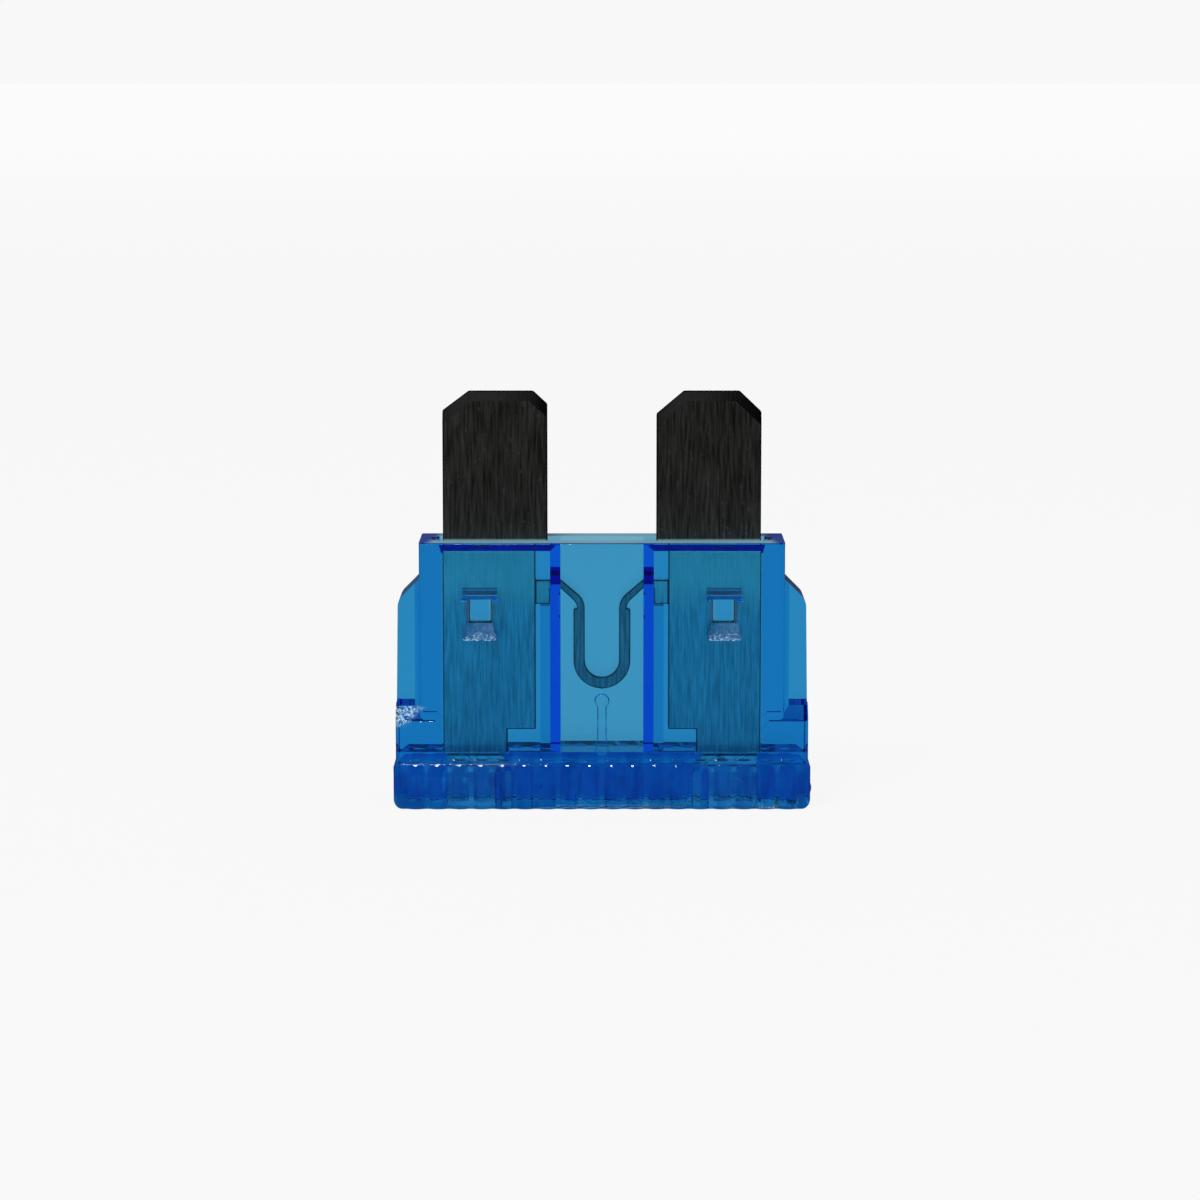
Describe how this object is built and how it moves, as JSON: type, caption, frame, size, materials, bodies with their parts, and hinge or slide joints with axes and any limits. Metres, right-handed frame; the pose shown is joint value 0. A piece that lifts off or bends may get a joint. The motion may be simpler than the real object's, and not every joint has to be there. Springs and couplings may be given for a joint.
{
  "type": "automotive blade fuse",
  "caption": "Plug-in blade fuse: a zinc strip with two flat blades and a U-shaped fusible link, held in a clear blue plastic housing with a ribbed grip cap.",
  "frame": {"origin": "centre of the cap's flat outer face, on which the fuse stands", "axes": "+Z from the cap to the blade tips, X along the width from blade to blade, Y through the thickness"},
  "size_m": [0.0192, 0.0052, 0.019],
  "materials": {
    "housing": "clear blue moulded plastic, glossy",
    "fuse_element": "rolled zinc with fine lengthwise marks, tarnished dark on the open blades"
  },
  "bodies": {
    "root": {"housing": "housing", "fuse_element": "fuse_element"}
  },
  "joints": []
}
